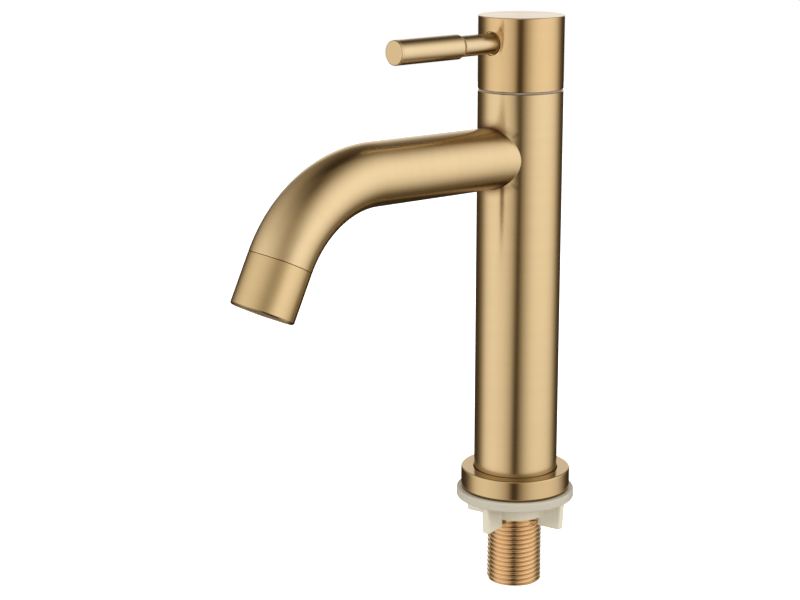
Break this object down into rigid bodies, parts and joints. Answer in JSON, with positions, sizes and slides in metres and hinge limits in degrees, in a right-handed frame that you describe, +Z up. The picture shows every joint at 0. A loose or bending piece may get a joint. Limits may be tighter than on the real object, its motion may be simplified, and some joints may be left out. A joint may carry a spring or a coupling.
{
  "type": "basin tap",
  "caption": "Tall deck-mounted basin tap with a pin lever on a turning hub, a bent tube spout, an aerator, a threaded shank and a winged back nut.",
  "frame": {"origin": "centre of the deck plane under the base flange, on the axis of the shank", "axes": "+Z up along the column, -Y along the spout and the closed lever"},
  "size_m": [0.0454, 0.1565, 0.2205],
  "materials": {
    "brushed_gold": "brushed stainless steel with a gold coating",
    "gold_brass": "turned brass with the same gold coating",
    "plain_brass": "turned brass",
    "black_rubber": "black rubber",
    "white_plastic": "moulded white plastic",
    "grey_plastic": "grey plastic",
    "disc_ceramic": "lapped alumina",
    "plain_steel": "plain stainless steel"
  },
  "bodies": {
    "tap_body": {"column": "brushed_gold", "base_flange": "brushed_gold", "spout_tube": "brushed_gold", "outlet_shell": "brushed_gold", "threaded_shank": "gold_brass", "base_insert": "plain_brass", "riser_tube": "plain_brass", "valve_block": "plain_brass", "cartridge_body": "plain_brass", "flange_seal": "black_rubber", "shank_seal": "black_rubber", "riser_seals": "black_rubber", "block_seals": "black_rubber", "seat_seal": "black_rubber", "outlet_washer": "black_rubber", "aerator_cage": "white_plastic", "trim_ring": "grey_plastic", "fixed_disc": "disc_ceramic", "aerator_screen": "plain_steel"},
    "handle": {"handle_hub": "brushed_gold", "spline_bush": "grey_plastic", "lever_rod": "brushed_gold", "lever_grip": "brushed_gold", "grub_screw": "plain_steel", "spindle": "plain_brass", "spindle_seals": "black_rubber", "spindle_clip": "plain_steel", "thrust_washer": "white_plastic", "moving_disc": "disc_ceramic"},
    "clamp_washer": {"clamp_washer": "white_plastic"},
    "back_nut": {"back_nut": "white_plastic"}
  },
  "joints": [
    {"name": "handle_turn", "type": "hinge", "parent": "tap_body", "child": "handle", "pos_m": [0, 0, 0.168], "axis": [0, 0, 1], "range_deg": [0, 90]},
    {"name": "washer_slide", "type": "slide", "parent": "tap_body", "child": "clamp_washer", "axis": [0, 0, -1], "range_m": [0, 0.02]},
    {"name": "nut_turn", "type": "hinge", "parent": "clamp_washer", "child": "back_nut", "pos_m": [0, 0, -0.0076], "axis": [0, 0, -1], "range_deg": [0, 3969]}
  ],
  "couplings": [
    {"joint": "nut_turn", "follows": "washer_slide", "rad_per_m": 3463.1}
  ]
}
